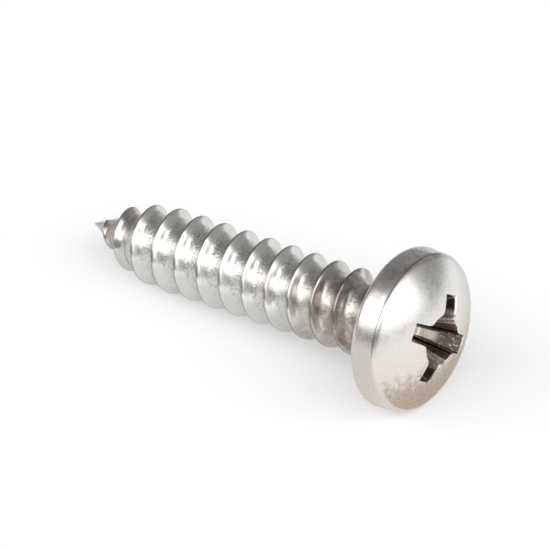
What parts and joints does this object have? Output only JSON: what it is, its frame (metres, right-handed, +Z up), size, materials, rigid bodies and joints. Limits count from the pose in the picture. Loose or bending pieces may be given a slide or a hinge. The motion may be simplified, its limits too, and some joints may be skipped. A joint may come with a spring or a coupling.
{
  "type": "pan head tapping screw",
  "caption": "Self-tapping screw with a domed pan head, cross recess, coarse right-hand thread and sharp point, for joining sheet metal, plastic or wood.",
  "frame": {"origin": "centre of the bounding box's bottom, on the surface that the screw lies on", "axes": "+Z up, +X towards the head; the screw's axis rises 7.5 degrees from point to head"},
  "size_m": [0.0216, 0.0082, 0.0081],
  "materials": {
    "screw": "bright stainless steel, smooth flanks, slightly rough thread roots"
  },
  "bodies": {
    "root": {"screw": "screw"}
  },
  "joints": []
}
